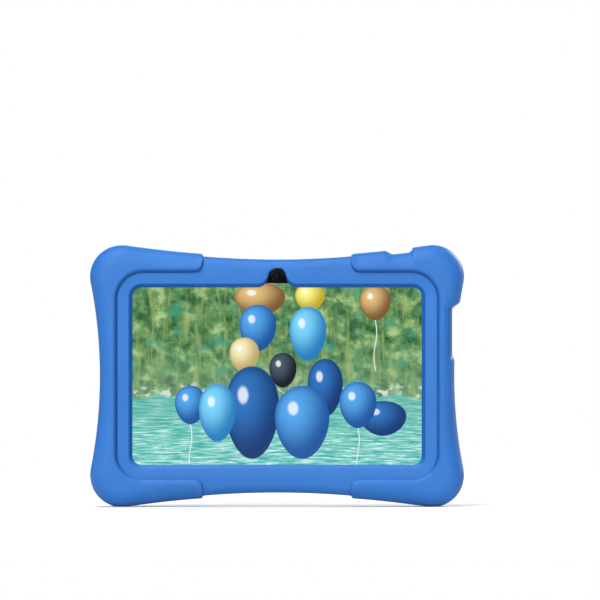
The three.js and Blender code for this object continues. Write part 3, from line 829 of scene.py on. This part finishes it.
def half_stations(upper, sx):
    """Stations from the middle of the top or bottom edge to the middle of one side.

    Two stations at one place make the step where the band ends.
    """
    stations = []
    sv = 1 if upper else -1
    previous = None
    for row in window_half(upper):
        start, way = row[3], row[4]
        band = way[0] == 0 and start[0] <= BAND_X
        if previous and previous[1] and not band:
            last = previous[0]
            share = (BAND_X - last[3][0]) / (start[0] - last[3][0])
            at = (last[0][0] + share * (row[0][0] - last[0][0]), last[0][1])
            edge = (at, (0, 1), LIP_WIDTH, (BAND_X, start[1]), (0, 1))
            stations.append(tray_loop(edge, True, sx, sv))
            stations.append(tray_loop(edge, False, sx, sv))
        stations.append(tray_loop(row, band, sx, sv))
        previous = (row, band)
    return stations


def make_tray():
    right = half_stations(True, 1) + half_stations(False, 1)[:-1][::-1]
    left = half_stations(False, -1)[1:] + half_stations(True, -1)[1:-1][::-1]
    stations = right + left
    return sweep("tray_skin", stations, closed=True, painted_shades=[tray_painted_shades(loop) for loop in stations])


tray = make_tray()
carve(tray, [
    port_cutter(86),
    jack_cutter(80),
    key_cutter(volume_x, 6.5, key_y, half_y=3.6, cut=0.8, bottom=54, slope=0, top=59),
    key_cutter(power_x, 3.4, key_y, half_y=3.1, cut=0.8, bottom=54, slope=0, top=59),
    scoop_cutter(81, -0.1, 12.5),
])
dress(tray, "case", "case_blue", "case_tray")

# ---- Back panel with its relief of low six sided pyramids ----------------------------------------

FACET = 30.4 / 3                       # between neighbouring corners of the relief
FACET_ROW = 9.15
FACET_START = (71.6, 34.4)             # a peak, as seen from behind
PEAK_Y, VALLEY_Y = 12.3, 9.5
PANEL = (83.4, 55.2, 15)               # the panel's outline, under the grips' edge
PANEL_FRONT = 1.5


def lattice(row, k):
    """A corner of the relief, as seen from behind, and whether it is a peak."""
    x = FACET_START[0] + 1.5 * FACET * (row % 2) + FACET * k
    y = PEAK_Y if k % 3 == 0 else VALLEY_Y
    return -x, y, FACET_START[1] - FACET_ROW * row


def make_relief():
    """The facets, larger than the panel, with a flat face in front that closes them to a solid."""
    corners, faces = {}, []

    def corner(row, k):
        return corners.setdefault((row, k), len(corners))

    for row in range(-3, 11):
        shift = -1 if row % 2 == 0 else 2
        for k in range(-20, 5):
            near, far = k + shift, k + shift + 1
            faces.append((corner(row, k), corner(row, k + 1), corner(row + 1, near)))
            faces.append((corner(row, k + 1), corner(row + 1, near), corner(row + 1, far)))
    points = [lattice(*key) for key in corners]
    mesh = bpy.data.meshes.new("relief")
    mesh.from_pydata([point(*p) for p in points], [], faces)
    work = bmesh.new()
    work.from_mesh(mesh)
    made = bmesh.ops.extrude_face_region(work, geom=work.faces[:], use_keep_orig=True)
    for item in made["geom"]:
        if isinstance(item, bmesh.types.BMVert):
            item.co.y = 2 * MM
    bmesh.ops.recalc_face_normals(work, faces=work.faces)
    work.to_mesh(mesh)
    work.free()
    panel = bpy.data.objects.new("back_panel_skin", mesh)
    scene.collection.objects.link(panel)
    return panel


panel = make_relief()
carve(panel, [prism(rounded(*PANEL, 16), PANEL_FRONT, 14)], operation="INTERSECT")
carve(panel, [
    prism(arc(0, RECESS, CUP_MOUTH + 0.4, 0, 360, 120)[:-1], 0, 16),
    prism(slot(*REAR_WINDOW, 7.8), 0, 16),
    scoop_cutter(81, -0.1, 12.5),
], crease=5)
dress(panel, "case", "case_blue", "case_tray")

# rim of the rear camera's window, sloping in to the lens
rim_profile = [(8.6, 9), (8.6, 11.1)] + ellipse(7.9, 11.3, 0.7, 0.7, 0, 90, 4)
rim_profile += ellipse(7.5, 11.4, 0.6, 0.6, 90, 180, 4) + [(5.5, 0.4), (8, 0.4)]
camera_rim = around("camera_window_rim", slot_path(*REAR_WINDOW), rim_profile)
dress(camera_rim, "case", "case_blue", "case_tray")

# ---- Cup, turntable and ring ---------------------------------------------------------------------

TABLE_TOP = span("turntable_cap")[1][1] + 0.1     # level of the turntable's raised middle
PLATEAU = 26.3                                    # its radius
BLOCK_HALF = 13.2                                 # half width of the hinge block


def make_cup():
    profile = [(0, CUP_FLOOR), (CUP_INNER - 1.5, CUP_FLOOR)]
    profile += arc(CUP_INNER - 1.5, CUP_FLOOR + 1.5, 1.5, 270, 360, 6)[1:]
    profile += [(CUP_INNER, CUP_FLARE_Y), (CUP_MOUTH - 0.5, BAND_BACK - 0.75)]
    profile += arc(CUP_MOUTH, BAND_BACK - 0.5, 0.5, 150, 90, 3)
    profile += arc(CUP_RIM - 0.5, BAND_BACK - 0.5, 0.5, 90, 0, 4)
    profile += [(CUP_RIM, 9.8), (45.1, 9.8), (45.1, 2.2), (0, 2.2)]
    return around("cup_skin", circle_path(0, RECESS), profile)


dress(make_cup(), "case", "stand_blue", "stand_cup")


def make_table_disc():
    profile = [(7, 4.2), (41.9, 4.2), (42.2, 4.5)]
    profile += arc(41.8, 4.9, 0.4, 0, 90, 3)
    profile += arc(PLATEAU + 1.6, 6.5, 1.2, 270, 180, 5)
    profile += arc(PLATEAU - 1.0, TABLE_TOP - 1.1, 1.1, 0, 90, 6)
    profile += [(PLATEAU - 6, TABLE_TOP - 0.06), (10.1, TABLE_TOP - 0.12)]
    profile += [(9.75, TABLE_TOP - 0.4), (9.75, 6.2), (7, 6.2)]
    return around("turntable_skin", circle_path(0, RECESS), profile)


def block_loop(x, tuck):
    """The hinge block's section at one place across: a flat face that curves down to the cup."""
    foot, back = 26 + tuck, 12.2 - tuck
    edge = math.sqrt(41.5 ** 2 - x ** 2) - tuck
    section = [(foot, 4.4)] + arc(foot + 1.1, back - 1.1, 1.1, 180, 90, 5)
    section += ellipse(edge - 5.2, back - 5.5, 5.2, 5.5, 90, 8, 10)
    return [(x, y, RECESS + v) for v, y in section + [(edge, 4.4)]]


def make_block():
    half = BLOCK_HALF
    stops = [(half, 0.6), (half - 0.05, 0.38), (half - 0.18, 0.18), (half - 0.38, 0.05), (half - 0.6, 0)]
    places = [(-x, tuck) for x, tuck in stops]
    places += [(x, 0) for x in steps_between(-half + 0.6, half - 0.6, 16)[1:-1]]
    places += [(x, tuck) for x, tuck in reversed(stops)]
    return sweep("hinge_block", [block_loop(x, tuck) for x, tuck in places], crease=40)


def end_notch(side):
    """Room for the ends of the ring as they swing down past the pin."""
    near, far = side * 13.5, side * 24
    outline = [(near, 29.8), (far, 29.8), (far, 45), (near, 45)]
    return prism([(x, v + RECESS) for x, v in outline], 2, 5.6)


table = carve(make_table_disc(), [end_notch(1), end_notch(-1)])
dress(table, "turntable", "stand_blue", "turntable")
dress(make_block(), "turntable", "stand_blue", "turntable")

cap_profile = [(0, TABLE_TOP - 0.9), (9.45, TABLE_TOP - 0.9)] + arc(9.2, TABLE_TOP - 0.35, 0.25, 0, 90, 3)
cap_profile += [(0, TABLE_TOP - 0.05)]
dress(around("turntable_cap_skin", circle_path(0, RECESS, 72), cap_profile), "turntable", "stand_blue",
      "turntable_cap")

RING_INNER, RING_OUTER = 27.6, 41.6
RING_END = 13.9                        # how far across its ends stand from the middle
RING_FRONT, RING_BACK = 5.9, 12.3


def ring_section(tuck):
    """A flattened oval of (radius, level), a little crowned."""
    half_r = (RING_OUTER - RING_INNER) / 2 - tuck
    half_y = (RING_BACK - RING_FRONT) / 2 - tuck
    mid_r, mid_y = (RING_INNER + RING_OUTER) / 2, (RING_FRONT + RING_BACK) / 2
    section = []
    for c, s in arc(0, 0, 1, 0, 360, 44)[:-1]:
        out = math.copysign(abs(c) ** 0.62, c)
        up = math.copysign(abs(s) ** 0.72, s)
        section.append((mid_r + half_r * out, mid_y + half_y * up))
    return section


def make_ring():
    """The ring's loops turn with their radius, so that both ends are flat faces beside the hinge block."""
    stops = [(0, 0.7), (0.05, 0.44), (0.2, 0.2), (0.42, 0.05), (0.7, 0)]
    places = [(0, gap, tuck) for gap, tuck in stops]
    places += [(share, 0.7, 0) for share in steps_between(0, 1, 110)[1:-1]]
    places += [(1, gap, tuck) for gap, tuck in reversed(stops)]
    loops = []
    for share, gap, tuck in places:
        loop = []
        for radius, y in ring_section(tuck):
            lead = math.asin((RING_END + gap) / radius)
            turn = lead + share * (2 * math.pi - 2 * lead)
            loop.append((radius * math.sin(turn), y, RECESS + radius * math.cos(turn)))
        loops.append(loop)
    return sweep("ring_skin", loops, crease=45)


dress(make_ring(), "ring", "ring_yellow", "ring_handle")

# ---- Screen, cameras and keys --------------------------------------------------------------------

PICTURE_X, PICTURE_LOW, PICTURE_HIGH = 75.4, -46.1, 48.2      # the lit area, a little past the window
picture_edge = [(PICTURE_X, PICTURE_LOW), (PICTURE_X, PICTURE_HIGH), (-PICTURE_X, PICTURE_HIGH),
                (-PICTURE_X, PICTURE_LOW)]
glass_edge = rounded(GLASS_HIGH[0], GLASS_HIGH[2], 7.2, 12)
border = plate("screen_border", glass_edge, GLASS_LOW[1], GLASS_HIGH[1], 0.12, [picture_edge])
dress(border, "case", "screen_glass", "cover_glass")
picture = plate("screen_picture", [(x * 0.9995, v * 0.9995) for x, v in picture_edge], GLASS_LOW[1] + 0.02,
                GLASS_HIGH[1], 0)
dress(picture, "case", "display", "display_panel", material=wallpaper())

eye_profile = [(0, -10.08), (0.25, -10.05), (0.4, -9.96), (0.5, -9.94), (1.25, -9.94), (1.25, -9.7),
               (0, -9.7)]
dress(around("front_camera_lens", circle_path(0, EYE_V, 48), eye_profile), "case", "black_gloss",
      "front_camera")

HOOD_RADIUS = 3.1
HOOD_LOW = 48.35                       # just above the lit picture


def make_hood():
    """The dark funnel in the notch, round the front camera: a wedge along its sides and over its top."""
    r = HOOD_RADIUS
    path = [((r, v), (1, 0)) for v in steps_between(HOOD_LOW, EYE_V, 4)[:-1]]
    path += [((r * c, EYE_V + r * d), (c, d)) for c, d in arc(0, 0, 1, 0, 180, 28)]
    path += [((-r, v), (-1, 0)) for v in steps_between(EYE_V, HOOD_LOW, 4)[1:]]
    profile = ((-0.5, -9.86), (-0.3, -9.98), (0, -10.02), (0.35, -10.2), (0.95, -10.95), (1.2, -11.1),
               (1.6, -11.05), (1.6, -9.86))
    stations = [[(x + nx * r, y, v + nv * r) for r, y in profile] for (x, v), (nx, nv) in path]
    return sweep("front_camera_hood", stations)


dome = [(7.4, HOOD_LOW), (5.9, 49.8)] + arc(0, EYE_V, 4.8, 0, 180, 30) + [(-5.9, 49.8), (-7.4, HOOD_LOW)]
backing = plate("front_camera_backing", dome, -9.92, -9.82, 0.03)
dress(backing, "case", "black_gloss", "front_camera")
dress(make_hood(), "case", "black_gloss", "front_camera")
trim = plate("camera_trim_skin", slot(0, LAMP_X, LENS_V, 5.1), -1.2, 0.4, 0.3)
dress(trim, "case", "black_gloss", "camera_trim")
lens_profile = [(0, 0.3), (4.3, 0.3)] + arc(4.0, 0.95, 0.3, 0, 90, 3) + arc(3.5, 0.95, 0.3, 90, 180, 3)
lens_profile += [(2.6, 0.55), (2.3, 0.8), (1.9, 0.8), (1.7, 0.6)] + arc(0, 0.3, 1.3, 50, 90, 5)
dress(around("camera_lens", circle_path(0, LENS_V, 64), lens_profile), "case", "black_gloss",
      "rear_camera_glass")
lamp_profile = [(0, 0.3), (3, 0.3), (3, 0.5)] + arc(2.6, 0.5, 0.4, 0, 90, 3) + [(2.2, 0.7), (0, 0.85)]
dress(around("flash_lens", circle_path(LAMP_X, LENS_V, 64), lamp_profile), "case", "lamp_amber", "flash_lamp")

KEY_FLANGE = (0.8, 0.4)                # how far a key's flange stands out to each side


def make_key(name, node):
    """A key with rounded edges, on a square flange that closes the gap round it."""
    low, high = span(node)
    x, y = (low[0] + high[0]) / 2, (low[1] + high[1]) / 2
    half_x, half_y = (high[0] - low[0]) / 2, (high[1] - low[1]) / 2
    loops = []
    for steps_in, level in ((0, low[2]), (0, low[2] + 0.75), (1, low[2] + 0.8), (1, high[2] - 0.5),
                            (1.13, high[2] - 0.22), (1.5, high[2] - 0.04), (1.9, high[2])):
        hx = half_x - steps_in * KEY_FLANGE[0]
        hy = half_y - steps_in * KEY_FLANGE[1]
        corner = min(hx, hy) * (0.8 if steps_in else 0.1)
        loops.append([(x + px, y + py, level) for px, py in rounded(hx, hy, corner, 5)])
    return sweep(name, loops, crease=40)


dress(make_key("power_key", "power_button"), "power_button", "black_plastic", "power_button")
dress(make_key("volume_key", "volume_rocker"), "volume_rocker", "black_plastic", "volume_rocker")

# ---- Finishes of the CAD nodes that stay ---------------------------------------------------------

for row in frame["record"]["subparts"]:
    node = frame["nodes"][row["node"]]
    node.data.materials.clear()
    node.data.materials.append(MATERIALS[row["material_slot"]])

# ---- Floor, light and camera ---------------------------------------------------------------------


def floor():
    half = 1.3
    corners = [(-half, -half, 0), (half, -half, 0), (half, half, 0), (-half, half, 0)]
    mesh = bpy.data.meshes.new("floor")
    mesh.from_pydata(corners, [], [(0, 1, 2, 3)])
    made = bpy.data.objects.new("floor", mesh)
    scene.collection.objects.link(made)
    t = Tree("pale_floor")
    tone = t.ramp(t.noise(t.place(), 3), [(0.3, (0.68, 0.68, 0.68)), (0.7, (0.72, 0.72, 0.72))])
    t.put(t.shader.inputs["Base Color"], tone)
    t.shader.inputs["Roughness"].default_value = 0.9
    t.shader.inputs["Specular IOR Level"].default_value = 0.1
    mesh.materials.append(t.material)


def lamp(name, place, aim, size, power):
    """A round soft lamp, in metres and watts."""
    data = bpy.data.lights.new(name, "AREA")
    data.shape = "DISK"
    data.size = size
    data.energy = power
    made = bpy.data.objects.new(name, data)
    made.location = place
    made.rotation_euler = (Vector(aim) - Vector(place)).to_track_quat("-Z", "Y").to_euler()
    scene.collection.objects.link(made)


def studio(strength, backdrop):
    """Even room light, with a plain backdrop of its own brightness behind the object."""
    world = bpy.data.worlds.new("studio")
    world.use_nodes = True
    nodes, links = world.node_tree.nodes, world.node_tree.links
    seen = nodes.new("ShaderNodeLightPath").outputs["Is Camera Ray"]
    level = nodes.new("ShaderNodeMapRange")
    level.inputs["To Min"].default_value = strength
    level.inputs["To Max"].default_value = backdrop
    links.new(seen, level.inputs["Value"])
    links.new(level.outputs["Result"], nodes["Background"].inputs["Strength"])
    nodes["Background"].inputs["Color"].default_value = (1, 1, 1, 1)
    scene.world = world


floor()
studio(0.1, 1.0)
centre = (0, 0, MIDDLE * MM)
lamp("front_soft", (-0.4, -2.2, 0.85), centre, 0.7, 36)
lamp("front_key", (-0.7, -1.2, 1.6), centre, 0.9, 32)
lamp("top", (-0.2, -0.4, 2.2), centre, 1.0, 24)
lamp("side", (1.9, 0.5, 0.6), centre, 0.9, 5)
lamp("rear_key", (1.3, 1.35, 1.0), centre, 0.9, 48)
lamp("rear_fill", (-0.3, 2.0, 0.8), centre, 0.8, 13)

DISTANCE = 6                           # metres, since the photograph shows almost no perspective
FRAME_WIDTH = 0.3114                   # metres that the picture spans at the case's front
AIM_X, AIM_V = 0.0119, 39.5            # where the middle of the picture looks, in metres and millimetres
SENSOR = 36
camera = bpy.data.cameras.new("camera")
camera.sensor_width = SENSOR
camera.lens = SENSOR * DISTANCE / FRAME_WIDTH
camera.clip_end = 50
view = bpy.data.objects.new("camera", camera)
view.location = (AIM_X, FRONT * MM - DISTANCE, (MIDDLE + AIM_V) * MM)
view.rotation_euler = (math.radians(90), 0, 0)
scene.collection.objects.link(view)
scene.camera = view
scene.view_settings.view_transform = "Standard"
